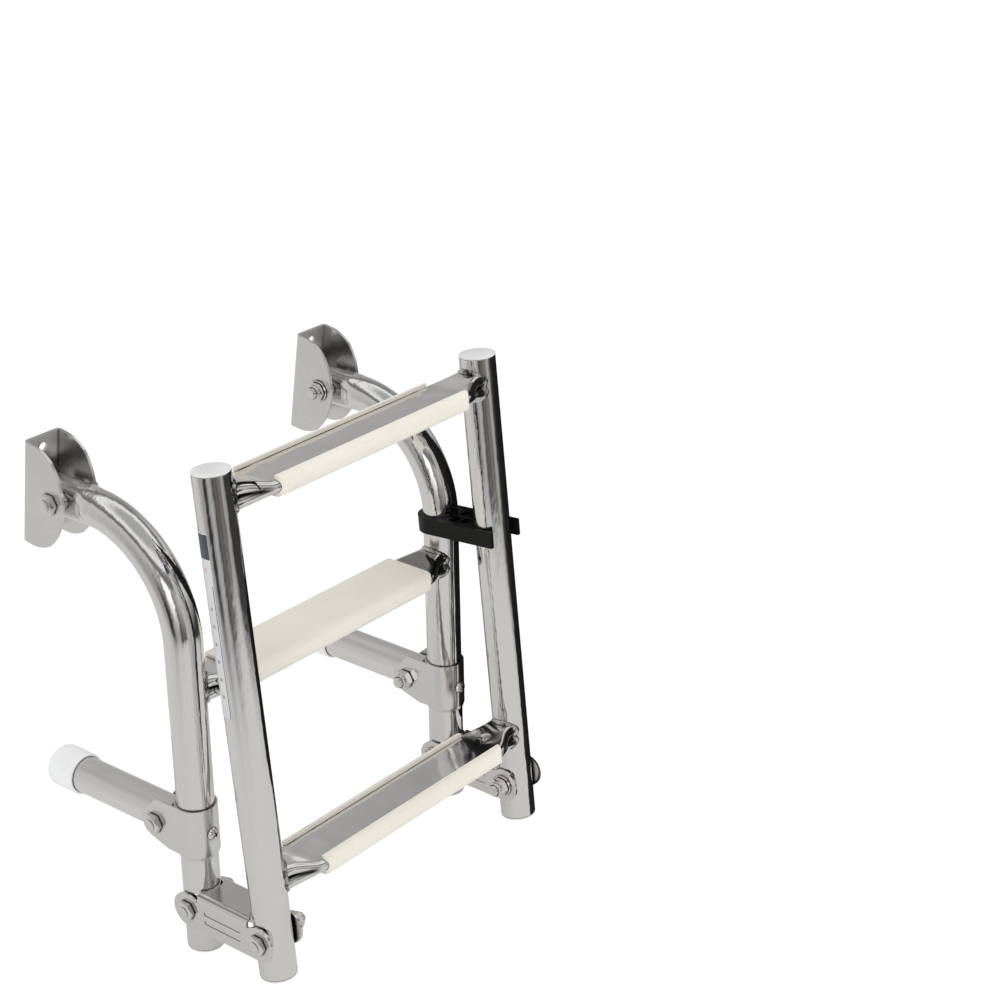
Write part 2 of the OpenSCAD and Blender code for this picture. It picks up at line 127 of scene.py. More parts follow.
class Shape:
    """Vertices and faces of one piece, gathered solid by solid."""

    def __init__(self):
        self.verts = []
        self.faces = []

    def add(self, solid, matrix=Matrix.Identity(4)):
        verts, faces = solid
        start = len(self.verts)
        self.verts += [matrix @ Vector(v) for v in verts]
        self.faces += [tuple(start + i for i in face) for face in faces]
        return self


def skin(rings, close=False):
    """Closed solid through rings of equally many points; close joins last to first."""
    n = len(rings[0])
    verts = [p for ring in rings for p in ring]
    faces = []
    for i in range(len(rings) if close else len(rings) - 1):
        a, b = i * n, (i + 1) % len(rings) * n
        for k in range(n):
            faces.append((a + k, a + (k + 1) % n, b + (k + 1) % n, b + k))
    if not close:
        faces.append(tuple(reversed(range(n))))
        faces.append(tuple(range(len(verts) - n, len(verts))))
    return verts, faces


def ring_points(radius, z, count):
    """Ring about Z whose radius and height are numbers or functions of the angle."""
    points = []
    for k in range(count):
        angle = 2 * math.pi * k / count
        r = radius(angle) if callable(radius) else radius
        height = z(angle) if callable(z) else z
        points.append((r * math.cos(angle), r * math.sin(angle), height))
    return points


def lathe(profile, count=64, close=False):
    """Solid turned about Z from (radius, height) pairs."""
    return skin([ring_points(r, z, count) for r, z in profile], close)


def arc(cx, cy, r, start, end, steps):
    """Points of a circular arc, angles in degrees."""
    angles = [math.radians(start + (end - start) * i / steps) for i in range(steps + 1)]
    return [(cx + r * math.cos(a), cy + r * math.sin(a)) for a in angles]


def mesh_piece(name, shape, smooth_angle=SHARP_ANGLE):
    """A piece from a gathered shape, its faces turned outwards."""
    mesh = bpy.data.meshes.new(name)
    mesh.from_pydata([tuple(v) for v in shape.verts], [], shape.faces)
    bm = bmesh.new()
    bm.from_mesh(mesh)
    bmesh.ops.recalc_face_normals(bm, faces=bm.faces)
    bm.to_mesh(mesh)
    bm.free()
    return shown(name, mesh, smooth_angle)


def shown(name, mesh, smooth_angle=SHARP_ANGLE):
    """Puts a mesh in the scene, shaded smooth between its sharp edges."""
    mesh.shade_smooth()
    mesh.set_sharp_from_angle(angle=math.radians(smooth_angle))
    piece = bpy.data.objects.new(name, mesh)
    bpy.context.scene.collection.objects.link(piece)
    return piece


def bevelled(piece, width):
    """Rounds a piece's sharp edges."""
    bevel = piece.modifiers.new("bevel", "BEVEL")
    bevel.width = width
    bevel.segments = BEVEL_STEPS
    bevel.limit_method = "ANGLE"
    bevel.angle_limit = math.radians(SHARP_ANGLE)
    bevel.use_clamp_overlap = True
    normals = piece.modifiers.new("normals", "WEIGHTED_NORMAL")
    normals.keep_sharp = True
    return piece


def cad_copy(node, name):
    """A new piece with a CAD node's shape: seams welded, flat faces merged."""
    bm = bmesh.new()
    bm.from_mesh(NODES[node].data)
    bmesh.ops.remove_doubles(bm, verts=bm.verts, dist=SEAM)
    bmesh.ops.dissolve_limit(bm, angle_limit=math.radians(FLAT_ANGLE), verts=bm.verts, edges=bm.edges)
    mesh = bpy.data.meshes.new(name)
    bm.to_mesh(mesh)
    bm.free()
    return shown(name, mesh)


def install(piece, node, material):
    """Puts a piece in the place of a CAD node, on that node's body."""
    piece.data.materials.clear()
    piece.data.materials.append(material)
    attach(piece, BODY_OF[node])
    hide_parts(node)
    return piece


def install_copy(node, name, edge, material):
    """Puts a copy of a CAD node, its edges rounded, in that node's place."""
    install(bevelled(cad_copy(node, name), edge), node, material)


# ---- materials -------------------------------------------------------------------

class Tree:
    """A short way to write a node tree."""

    def __init__(self, owner):
        owner.use_nodes = True
        self.tree = owner.node_tree
        self.tree.nodes.clear()

    def add(self, kind, settings=None, **inputs):
        node = self.tree.nodes.new(kind)
        for key, value in (settings or {}).items():
            setattr(node, key, value)
        for key, value in inputs.items():
            self.feed(node, key.replace("_", " "), value)
        return node

    def feed(self, node, key, value):
        socket = node.inputs[int(key)] if key.isdigit() else node.inputs[key]
        if isinstance(value, bpy.types.NodeSocket):
            self.tree.links.new(value, socket)
        elif isinstance(value, bpy.types.Node):
            self.tree.links.new(value.outputs[0], socket)
        else:
            socket.default_value = value

    def math(self, operation, a, b=0.0):
        return self.add("ShaderNodeMath", {"operation": operation}, **{"0": a, "1": b})

    def vector(self, operation, a, b=(0, 0, 0)):
        return self.add("ShaderNodeVectorMath", {"operation": operation}, **{"0": a, "1": b})

    def attribute(self, name):
        return self.add("ShaderNodeAttribute", {"attribute_name": name}).outputs["Fac"]

    def coords(self, scale, turn):
        """Object coordinates, turned about X and stretched."""
        place = self.add("ShaderNodeTexCoord").outputs["Object"]
        mapping = self.add("ShaderNodeMapping", Vector=place, Scale=scale)
        mapping.inputs["Rotation"].default_value = (turn, 0, 0)
        return mapping

    def noise(self, scale, detail, stretch=(1, 1, 1), turn=0.0, roughness=0.5):
        return self.add("ShaderNodeTexNoise", Vector=self.coords(stretch, turn), Scale=scale,
                        Detail=detail, Roughness=roughness)

    def span(self, value, low, high, from_low=0.0, from_high=1.0):
        """Low where the value is from_low, high where it is from_high."""
        node = self.add("ShaderNodeMapRange", Value=value)
        node.inputs["From Min"].default_value = from_low
        node.inputs["From Max"].default_value = from_high
        node.inputs["To Min"].default_value = low
        node.inputs["To Max"].default_value = high
        return node

    def ramp(self, value, stops):
        """Colours at (place, colour) stops, straight in between."""
        node = self.add("ShaderNodeValToRGB", Fac=value)
        elements = node.color_ramp.elements
        while len(elements) < len(stops):
            elements.new(0.5)
        for element, (place, colour) in zip(elements, stops):
            element.position = place
            element.color = (*colour, 1)
        return node

    def mix(self, factor, a, b):
        node = self.add("ShaderNodeMix", {"data_type": "RGBA"}, **{"0": factor, "6": a, "7": b})
        return node.outputs[2]

    def crevice(self, distance):
        """1 in the open, towards 0 where surfaces meet within the distance: the mask for painted shade in
        crevices.
        """
        return self.add("ShaderNodeAmbientOcclusion", {"samples": 8}, Distance=distance).outputs["AO"]

    def bump(self, height, strength, distance, normal=None):
        node = self.add("ShaderNodeBump", Height=height, Strength=strength, Distance=distance)
        if normal is not None:
            self.feed(node, "Normal", normal)
        return node

    def blend(self, factor, a, b):
        """Mixes two shaders."""
        return self.add("ShaderNodeMixShader", **{"0": factor, "1": a, "2": b})

    def surface(self, shader, output="ShaderNodeOutputMaterial"):
        self.feed(self.add(output), "Surface", shader)

    def finish(self, **inputs):
        self.surface(self.add("ShaderNodeBsdfPrincipled", **inputs))


def grey(value, warmth=0.0):
    return (value * (1 + warmth), value, value * (1 - warmth))


def steel_material(name, tone, rough, wave, grain, streak=0.0, warmth=0.01):
    """Stainless steel: patches, waves, lengthwise streaks, grain, heat tint, painted shade in creases and
    crevices.
    """
    # Dark tones painted as shade: into the fold of each step end, and where surfaces meet.
    crease_shade_tone, crevice_shade_tone, crevice_shade_reach = 0.035, 0.10, 0.0028
    t = Tree(material := bpy.data.materials.new(name))
    patches = t.noise(38.0, 4.0)
    fine = t.noise(900.0, 2.0, (1, 1, 0.03), LEAN)
    heat = t.attribute("heat")
    edge = t.math("MULTIPLY", heat, t.span(patches, 0.65, 1.25))
    tint = t.ramp(edge, [(0.0, grey(tone, warmth)), (0.25, grey(tone * 0.97, 0.02)),
                         (0.55, (tone * 0.92, tone * 0.87, tone * 0.78)),
                         (0.8, (tone * 0.72, tone * 0.66, tone * 0.58)),
                         (1.0, (tone * 0.58, tone * 0.57, tone * 0.58))])
    clean = t.ramp(patches, [(0.3, grey(tone * 0.9, warmth)), (0.8, grey(tone * 0.98, warmth))])
    shade = t.mix(t.span(patches, 0.0, 0.35, 0.35, 0.75), tint.outputs[0], clean.outputs[0])
    heated = t.mix(t.math("MINIMUM", edge, 1.0), shade, tint.outputs[0])
    # Painted shade: the steel turns near-black in the fold between a step end's two lobes.
    folded = t.mix(t.attribute("crease"), heated, (*grey(crease_shade_tone), 1))
    # Painted shade: darker where surfaces meet, as in the contact gaps under heads and beside welds.
    crevice_shaded = t.span(t.crevice(crevice_shade_reach), 0.85, 0.0, 0.42, 0.82)
    colour = t.mix(crevice_shaded, folded, (*grey(crevice_shade_tone), 1))
    dulled = t.math("ADD", t.span(patches, *rough, 0.3, 0.75), t.math("MULTIPLY", heat, 0.12))
    rolling = t.bump(t.noise(26.0, 1.5, (1, 1, 0.35), LEAN), wave, 0.002)
    drawn = t.bump(t.noise(210.0, 2.0, (1, 1, 0.02), LEAN), streak, 0.0006, rolling)
    normal = t.bump(fine, grain, 0.0002, drawn)
    t.finish(Base_Color=colour, Metallic=1.0, Roughness=dulled, Normal=normal)
    return material


def weld_material():
    """Bright bead with near-black spots of painted shade."""
    t = Tree(material := bpy.data.materials.new("weld_bead"))
    patches = t.noise(210.0, 5.0)
    # The near-black and dark grey stops are painted shade, scattered at random over the bead.
    colour = t.ramp(patches, [(0.36, (0.05, 0.05, 0.045)), (0.46, (0.34, 0.33, 0.31)),
                              (0.55, (0.66, 0.655, 0.64)), (0.70, (0.78, 0.775, 0.76))])
    lumps = t.bump(t.noise(300.0, 2.0), 0.55, 0.0010)
    t.finish(Base_Color=colour, Metallic=1.0, Roughness=t.span(patches, 0.30, 0.10),
             Normal=t.bump(t.noise(1100.0, 3.0), 0.25, 0.0003, lumps))
    return material


def tread_material():
    """Cream plastic: soft mottling, fine scratches along the step, a moulded grain."""
    t = Tree(material := bpy.data.materials.new("cream_tread"))
    mottling = t.noise(22.0, 4.0)
    scratches = t.noise(520.0, 3.0, (0.02, 1, 1), LEAN)
    lines = t.span(scratches, 0.0, 1.0, 0.56, 0.68)
    base = t.ramp(mottling, [(0.3, (0.82, 0.775, 0.692)), (0.7, (0.86, 0.818, 0.742))])
    colour = t.mix(t.math("MULTIPLY", lines, 0.22), base.outputs[0], (0.74, 0.68, 0.57, 1))
    scored = t.bump(lines, 0.25, 0.0003)
    t.finish(Base_Color=colour, Roughness=t.span(mottling, 0.42, 0.56), Specular_IOR_Level=0.45,
             Subsurface_Weight=0.08, Subsurface_Scale=0.004,
             Normal=t.bump(t.noise(2600.0, 2.0), 0.10, 0.0002, scored))
    return material


def pale_material(name, low, high, roughness, scatter=0.03):
    """White rubber or plastic with faint marks and a moulded grain."""
    t = Tree(material := bpy.data.materials.new(name))
    marks = t.noise(60.0, 5.0)
    colour = t.ramp(marks, [(0.3, low), (0.62, high)])
    t.finish(Base_Color=colour, Roughness=t.span(marks, roughness + 0.08, roughness - 0.05),
             Subsurface_Weight=scatter, Subsurface_Scale=0.006,
             Normal=t.bump(t.noise(1800.0, 2.0), 0.12, 0.0002))
    return material


def black_material():
    """Black moulded plastic with a little pale wear."""
    t = Tree(material := bpy.data.materials.new("black_clip"))
    wear = t.noise(240.0, 6.0, roughness=0.7)
    colour = t.ramp(wear, [(0.4, (0.0035, 0.0035, 0.0038)), (0.66, (0.006, 0.006, 0.006)),
                           (0.80, (0.06, 0.06, 0.06))])
    t.finish(Base_Color=colour, Roughness=t.span(wear, 0.34, 0.56), Specular_IOR_Level=0.22,
             Normal=t.bump(t.noise(1500.0, 2.0), 0.18, 0.0002))
    return material


def label_material():
    """Printed film: a slate block at one end, a pale outlined panel with thin bars below."""
    t = Tree(material := bpy.data.materials.new("rail_film"))
    place = t.add("ShaderNodeSeparateXYZ", Vector=t.add("ShaderNodeUVMap").outputs[0])
    along, across = place.outputs["Y"], place.outputs["X"]
    paper = t.noise(60.0, 3.0)
    slate = t.ramp(paper, [(0.3, (0.043, 0.058, 0.078)), (0.7, (0.052, 0.070, 0.093))])
    pale = t.ramp(paper, [(0.3, (0.60, 0.605, 0.61)), (0.7, (0.66, 0.665, 0.67))])

    def within(value, centre, half):
        distance = t.math("ABSOLUTE", t.math("SUBTRACT", value, centre))
        return t.math("LESS_THAN", distance, half)

    def patch(along_at, along_half, across_at, across_half):
        """1 inside a rectangle of the film, which is 1 long and 1 wide."""
        return t.math("MULTIPLY", within(along, along_at, along_half),
                      within(across, across_at, across_half))

    bar_waves, bar_level = 66.0, 0.80            # a bar where a sine along the film is high
    side_line = patch(0.36, 0.36, 0.965, 0.010)
    red_dot = patch(0.80, 0.012, 0.80, 0.045)
    slate_block = patch(0.925, 0.066, 0.5, 0.49)
    crests = t.math("GREATER_THAN", t.math("SINE", t.math("MULTIPLY", along, bar_waves)), bar_level)
    bars = t.math("MULTIPLY", patch(0.36, 0.30, 0.82, 0.045), crests)
    inked = t.mix(t.math("MULTIPLY", bars, 0.6), pale.outputs[0], (0.10, 0.10, 0.11, 1))
    marked = t.mix(t.math("MULTIPLY", red_dot, 0.5), inked, (0.55, 0.22, 0.20, 1))
    edged = t.mix(side_line, marked, (0.06, 0.06, 0.07, 1))
    colour = t.mix(slate_block, edged, slate.outputs[0])
    t.finish(Base_Color=colour, Roughness=t.span(paper, 0.26, 0.34), Metallic=0.1)
    return material


# ---- tubes -----------------------------------------------------------------------

def smoothstep(value, low, high):
    x = min(1.0, max(0.0, (value - low) / (high - low)))
    return x * x * (3 - 2 * x)


def tube_ring(centre, normal, width, height, power, count=72):
    """Closed section: a circle, or a flat-sided oval where power is above 2."""
    across = Vector((1, 0, 0))
    points = []
    for k in range(count):
        angle = 2 * math.pi * k / count
        c, s = math.cos(angle), math.sin(angle)
        x = width * math.copysign(abs(c) ** (2 / power), c)
        z = height * math.copysign(abs(s) ** (2 / power), s)
        points.append(centre + across * x + normal * z)
    return points


def tube_solid(stations):
    """Hollow tube through (centre, normal, half width, half height, power) stations."""
    edge = 0.00035                               # chamfer at both ends
    outer = [tube_ring(c, n, w, h, p) for c, n, w, h, p in stations]
    inner = [tube_ring(c, n, w - WALL, h - WALL, p) for c, n, w, h, p in stations]
    first, last = outer[0], outer[-1]
    outer[0] = [a + (b - a) * (edge / WALL) for a, b in zip(first, inner[0])]
    outer[-1] = [a + (b - a) * (edge / WALL) for a, b in zip(last, inner[-1])]
    outer.insert(1, [a + (b - a).normalized() * edge for a, b in zip(first, outer[1])])
    outer.insert(-1, [a + (b - a).normalized() * edge for a, b in zip(last, outer[-2])])
    return skin(outer + inner[::-1], close=True)


def straight_stations(start, end):
    """Round stations along Z of a local frame."""
    spacing = 0.006
    count = max(2, round(abs(end - start) / spacing))
    normal = Vector((0, 1, 0))
    return [(Vector((0, 0, start + (end - start) * i / count)), normal, TUBE_R, TUBE_R, 2.0)
            for i in range(count + 1)]


def upper_rail_stations(bottom):
    """From the pinched end behind the bracket bolt round the bend and down."""
    tail = 0.012                                 # tube behind the bolt
    bend_r, bend_steps = 0.077, 40
    pinch_half, pinch_power, pinch_steps = 0.0093, 3.4, 24
    pinch_from, pinch_to = 0.0095, 0.036         # where it opens out, ahead of the bolt
    bend_start = PROJECTION - bend_r
    stations = []
    for i in range(pinch_steps + 1):
        y = tail - (tail + bend_start) * i / pinch_steps
        open_out = smoothstep(-y, pinch_from, pinch_to)
        width = pinch_half + (TUBE_R - pinch_half) * open_out
        power = pinch_power - (pinch_power - 2) * open_out
        stations.append((Vector((0, y, 0)), Vector((0, 0, 1)), width, TUBE_R, power))
    for i in range(1, bend_steps + 1):
        angle = math.pi / 2 * i / bend_steps
        centre = Vector((0, -bend_start - bend_r * math.sin(angle), -bend_r * (1 - math.cos(angle))))
        normal = Vector((0, -math.sin(angle), math.cos(angle)))
        stations.append((centre, normal, TUBE_R, TUBE_R, 2.0))
    down = [(Vector((0, -PROJECTION, c.z)), Vector((0, -1, 0)), w, h, p)
            for c, _, w, h, p in straight_stations(-bend_r, -bottom)]
    return stations + down[1:]


def heat_attribute(piece, centres, reach=0.013):
    """Stores how near each vertex is to a weld, for the heat tint."""
    bead = 0.011                                 # all of the bead itself is tinted
    attribute = piece.data.attributes.new("heat", "FLOAT", "POINT")
    for vertex, value in zip(piece.data.vertices, attribute.data):
        near = min((vertex.co - centre).length for centre in centres)
        value.value = 1 - smoothstep(near, bead, bead + reach)


def crease_attribute(piece, matrix):
    """Marks the deep fold between the two lobes at each end of a step, where painted shade darkens the steel."""
    begins, complete = FLAT_HALF + 0.004, FLAT_HALF + 0.012
    deep, shallow = 0.0006, 0.0026
    inverse = matrix.inverted()
    attribute = piece.data.attributes.new("crease", "FLOAT", "POINT")
    for vertex, value in zip(piece.data.vertices, attribute.data):
        place = inverse @ vertex.co
        pinched = smoothstep(abs(place.x), begins, complete)
        value.value = pinched * (1 - smoothstep(abs(place.z), deep, shallow))


def weld_centres(matrix, side=None):
    """Where the step with this frame meets both rails, or the rail of one side."""
    sides = (-1, 1) if side is None else (side,)
    return [matrix @ Vector((s * (HALF - TUBE_R), 0, 0)) for s in sides]


# ---- steps -----------------------------------------------------------------------

FLAT_HALF = 0.090          # half length of the flattened middle
FLAT_W = 0.042             # width and thickness of the flattened middle
FLAT_T = 0.0084
FLAT_CELLS = 16            # cells across each flat face
LOBE_R = 0.0046            # the two lobes that a pinched end is folded into
LOBE_Y = 0.0069
OVALS = {"middle": 0.094}  # pressed oval near one end of a step's underside


def step_section(x, blend):
    """Closed outline of the step bar: flat stadium at blend 0, two stacked lobes at 1."""
    lobe_overlap, steepest, arc_steps = 0.0002, 0.98, 12
    ease = smoothstep(blend, 0, 1)
    flat_y = (FLAT_W - FLAT_T) / 2
    radius = FLAT_T / 2 + (LOBE_R - FLAT_T / 2) * ease
    reach = flat_y + (LOBE_Y - flat_y) * ease
    level = (LOBE_R - lobe_overlap) * ease
    notch = math.degrees(math.asin(min(steepest, level / radius)))
    across = [(reach - 2 * reach * i / FLAT_CELLS, level + radius) for i in range(1, FLAT_CELLS)]
    top = arc(reach, level, radius, -notch, 90, arc_steps) + across \
        + arc(-reach, level, radius, 90, 180 + notch, arc_steps)
    bottom = [(-y, -z) for y, z in top]
    return [Vector((x, y, z)) for y, z in top + bottom]


def underside_relief(x, y, oval_at):
    """How far the underside stands proud: rolling dents, less the oval pressed into it."""
    roll = 0.00022 * noise.noise(Vector((x * 28, y * 40, 3.0)))
    pull = 0.00045 * smoothstep(abs(x), 0.045, 0.088) * noise.noise(Vector((x * 75, y * 55, 8.0)))
    if oval_at is None:
        return roll + pull
    half_long, half_wide, deep = 0.0075, 0.0034, 0.0011
    oval = math.hypot((x - oval_at) / half_long, y / half_wide)
    return roll + pull - deep * (1 - smoothstep(oval, 0.25, 1.15))


def step_solid(oval_at):
    """Flattened tube whose ends are pinched to a V groove and run into the rails."""
    flat_rings, pinch_rings, stub = 60, 24, 0.004
    end = HALF - TUBE_R / 2                      # inside the rail's wall
    pinch = [FLAT_HALF + (end - stub - FLAT_HALF) * i / pinch_rings for i in range(pinch_rings + 1)]
    xs = [i * FLAT_HALF / flat_rings for i in range(flat_rings)] + pinch + [end]
    blends = [0.0] * flat_rings + [i / pinch_rings for i in range(pinch_rings + 1)] + [1.0]
    positive = [step_section(x, b) for x, b in zip(xs, blends)]
    negative = [[Vector((-p.x, p.y, p.z)) for p in ring] for ring in positive[:0:-1]]
    rings = negative + positive
    underside = -FLAT_T / 2 * 0.98
    for ring in rings:
        for p in ring:
            if p.z < underside:
                p.z -= underside_relief(p.x, p.y, oval_at)
    return skin(rings)


def weld_path(side, steps):
    """Line round a step's end on its rail, drawn in at the V groove."""
    half_wide, half_high, seat = 0.0117, 0.0103, TUBE_R + 0.0004
    groove_depth, groove_half = 0.16, 0.0024
    path = []
    for i in range(steps):
        a = 2 * math.pi * i / steps
        y = half_wide * math.copysign(abs(math.cos(a)) ** 0.75, math.cos(a))
        z = half_high * math.copysign(abs(math.sin(a)) ** 0.85, math.sin(a))
        y *= 1 - groove_depth * math.exp(-(z / groove_half) ** 2)
        x = HALF - math.sqrt(max(0.0, seat * seat - y * y))
        path.append(Vector((side * x, y, z)))
    return path


def weld_solid(side, seed):
    """Rippled bead round the joint of a step end and its rail."""
    rng = random.Random(seed)
    lumps = [(size, count, rng.uniform(0, 2 * math.pi))
             for size, count in ((0.16, 2), (0.12, 5), (0.08, 9))]
    ripples, ripple_steps, bead, bead_points = 30, 6, 0.0015, 14
    steps = ripples * ripple_steps
    turns = [2 * math.pi * k / bead_points for k in range(bead_points)]
    path = weld_path(side, steps)
    rings = []
    for i, point in enumerate(path):
        a = 2 * math.pi * i / steps
        tangent = (path[(i + 1) % steps] - path[i - 1]).normalized()
        outward = Vector((side * (point.x * side - HALF), point.y, 0)).normalized()
        sideways = tangent.cross(outward)
        lump = sum(size * math.sin(count * a + phase) for size, count, phase in lumps)
        scallop = 0.13 * abs(math.sin(ripples * a / 2))
        radius = bead * (0.95 + lump + scallop)
        rings.append([point + outward * radius * math.cos(t) * 0.8 + sideways * radius * math.sin(t) * 1.2
                      for t in turns])
    return skin(rings, close=True)


# ---- fasteners -------------------------------------------------------------------

BOLT_R = 0.004             # M8
HEX_AF = 0.013             # across the flats
HEX_COUNT = 72             # points round a hexagon
HEAD_TOP = 0.0045          # height of a bolt's head
WASHER_R = 0.008
WASHER_BORE_R = 0.0043
WASHER_T = 0.0016
NUT_COLLAR = 0.0016        # height of the domed collar on a nut


def hex_radius(angle):
    return HEX_AF / 2 / math.cos((angle + math.pi / 6) % (math.pi / 3) - math.pi / 6)


def hex_solid(bottom, top, both=False):
    """Hexagon with cone-chamfered corners on its top face, or on both faces."""
    flat_r = HEX_AF / 2 * 0.86
    slope = math.tan(math.radians(32))

    def lift(angle):
        return (hex_radius(angle) - flat_r) * slope

    rings = []
    if both:
        rings.append(ring_points(flat_r, bottom, HEX_COUNT))
        rings.append(ring_points(hex_radius, lambda a: bottom + lift(a), HEX_COUNT))
    else:
        rings.append(ring_points(hex_radius, bottom, HEX_COUNT))
    rings.append(ring_points(hex_radius, lambda a: top - lift(a), HEX_COUNT))
    rings.append(ring_points(flat_r, top, HEX_COUNT))
    return skin(rings)


def threaded_rod(start, end):
    """Rod along Z with a coarse thread and a chamfered end."""
    pitch, depth, rings_per_turn = 0.00125, 0.00055, 8
    chamfer, chamfer_slope = 0.0008, 0.7
    rings = []
    steps = max(8, round((end - start) / (pitch / rings_per_turn)))
    for i in range(steps + 1):
        z = start + (end - start) * i / steps
        taper = max(0.0, (z - (end - chamfer))) * chamfer_slope

        def radius(angle, z=z, taper=taper):
            turn = (z / pitch - angle / (2 * math.pi)) % 1.0
            return BOLT_R - depth * abs(2 * turn - 1) - taper
        rings.append(ring_points(radius, z, 48))
    return skin(rings)


def on_side(matrix, side, seat, facing):
    """Frame on the X axis of matrix, at side * seat, whose +Z points along facing * X."""
    turn = Matrix.Rotation(facing * math.pi / 2, 4, "Y")
    return matrix @ Matrix.Translation((side * seat, 0, 0)) @ turn


def bolt_shape(shape, matrix, side, seat, length, head_top=HEAD_TOP):
    """Bolt on the X axis of matrix with its head outboard at seat."""
    head = on_side(matrix, side, seat, side)
    shank = on_side(matrix, side, seat, -side)
    foot, thread = 0.0005, 0.006                 # washer face under the head, threaded length
    shape.add(lathe([(0.0061, 0.0), (0.0061, foot), (0.0058, 0.0006)]), head)
    shape.add(hex_solid(foot, head_top), head)
    disc = [(0.0040, -0.0002), (0.0040, 0.0007), (0.0038, 0.0009), (0.0034, 0.0010)]
    shape.add(lathe([(r, head_top + z) for r, z in disc]), head)
    plain = length - thread
    shape.add(lathe([(BOLT_R, 0), (BOLT_R, plain)], 48), shank)
    shape.add(threaded_rod(plain - 0.0002, length), shank)


def nut_shape(shape, matrix, side, seat, height):
    """Locking nut inboard of seat, its domed collar away from the sheet."""
    place = on_side(matrix, -side, seat, -side)
    shape.add(hex_solid(0.0, height - 0.0003, both=True), place)
    collar = [(0.0058, -0.0010)] + arc(0.0046, 0.0003, 0.0012, 0, 90, 5) \
        + [(0.0044, 0.0013), (0.0043, 0.0003)]
    shape.add(lathe([(r, height + z) for r, z in collar]), place)


def washer_shape(shape, matrix, side, seat):
    """Flat washer inboard of seat, its rim rounded."""
    rim = 0.0003
    shape.add(lathe([(WASHER_BORE_R, 0), (WASHER_R - rim, 0), (WASHER_R, rim),
                     (WASHER_R, WASHER_T - rim), (WASHER_R - rim, WASHER_T),
                     (WASHER_BORE_R, WASHER_T)], close=True), on_side(matrix, -side, seat, -side))


# ---- the pieces --------------------------------------------------------------------

polished = steel_material("polished_tube", 0.84, rough=(0.05, 0.11), wave=0.10, grain=0.05, streak=0.30)
flat_polish = steel_material("polished_flat", 0.84, rough=(0.06, 0.14), wave=0.30, grain=0.06)
satin = steel_material("satin_sheet", 0.80, rough=(0.22, 0.34), wave=0.05, grain=0.03)
clamp_steel = steel_material("clamp_sheet", 0.80, rough=(0.13, 0.22), wave=0.12, grain=0.04)
dull_tube = steel_material("dull_tube", 0.88, rough=(0.32, 0.42), wave=0.05, grain=0.05)
bolt_finish = steel_material("fastener_steel", 0.80, rough=(0.07, 0.16), wave=0.04, grain=0.03,
                             warmth=0.02)
bead_finish = weld_material()
cream = tread_material()
rubber = pale_material("white_rubber", (0.79, 0.79, 0.79), (0.85, 0.85, 0.85), roughness=0.42)
plug_white = pale_material("plug_plastic", (0.66, 0.66, 0.65), (0.78, 0.78, 0.77), roughness=0.32)
clip_black = black_material()
film = label_material()

EDGES = {"tread": 0.0007, "bush": 0.0003, "clamp": 0.0004, "set_screw": 0.0002,
         "bracket": 0.0005, "link": 0.0004, "clip": 0.0010}   # rounding of the CAD copies
STEPS = {"top": (LADDER, "top_tread"), "middle": (LOWER, "middle_tread"),
         "bottom": (LOWER, "bottom_tread")}


def step_matrix(step):
    """Frame of a step: its top faces +Z once the ladder is unfolded."""
    section, tread = STEPS[step]
    centre = middle(tread, section)
    flip = Matrix.Identity(4) if step == "top" else Matrix.Rotation(math.pi, 4, "X")
    return section @ Matrix.Translation((0, centre.y, centre.z)) @ flip


def make_rail(node, side, section, stations, steps):
    shape = Shape().add(tube_solid(stations), section @ Matrix.Translation((side * HALF, 0, 0)))
    rail = install(mesh_piece(f"{node}_tube", shape), node, polished)
    heat_attribute(rail, [c for step in steps for c in weld_centres(step_matrix(step), side)])


def make_rails():
    for name, side in SIDES.items():
        node = f"{name}_upper_rail"
        bottom = -span(node, LADDER)[0].z
        make_rail(node, side, LADDER, upper_rail_stations(bottom), ["top"])
        node = f"{name}_lower_rail"
        low, high = span(node, LOWER)
        make_rail(node, side, LOWER, straight_stations(low.z, high.z), ["middle", "bottom"])


def make_steps():
    """Bars, weld beads and tread covers; the seed of a bead is its step's number and side."""
    bar_smooth, bead_smooth, bar_heat = 50, 60, 0.008
    for number, step in enumerate(STEPS):
        matrix = step_matrix(step)
        bar = mesh_piece(f"{step}_step_bar", Shape().add(step_solid(OVALS.get(step)), matrix), bar_smooth)
        install(bar, f"{step}_step", flat_polish)
        heat_attribute(bar, weld_centres(matrix), bar_heat)
        crease_attribute(bar, matrix)
        shape = Shape()
        for side in (-1, 1):
            shape.add(weld_solid(side, 10 * number + side), matrix)
        beads = mesh_piece(f"{step}_beads", shape, bead_smooth)
        install(beads, f"{step}_step_welds", bead_finish)
        install_copy(f"{step}_tread", f"{step}_cover", EDGES["tread"], cream)


def fastener_set(prefix, sheet, axes, head_top):
    """Bolts, nuts and washers through both brackets, or both links."""
    bolts, nuts, washers = Shape(), Shape(), Shape()
    seat = outer_end(sheet) - HALF
    length = HALF + seat - inner_end(f"{prefix}_bolts")
    nut_h = HALF - seat - WASHER_T - inner_end(f"{prefix}_nuts") - NUT_COLLAR
    for side in (-1, 1):
        for axis in axes:
            place = Matrix.Translation((side * HALF, axis.y, axis.z)) @ LEANING
            bolt_shape(bolts, place, side, seat, length, head_top)
            nut_shape(nuts, place, side, seat + WASHER_T, nut_h)
            washer_shape(washers, place, side, seat)
    for kind, shape in (("bolt", bolts), ("nut", nuts), ("washer", washers)):
        piece = mesh_piece(f"{prefix}_{kind}_set", shape)
        install(piece, f"{prefix}_{kind}s", bolt_finish)


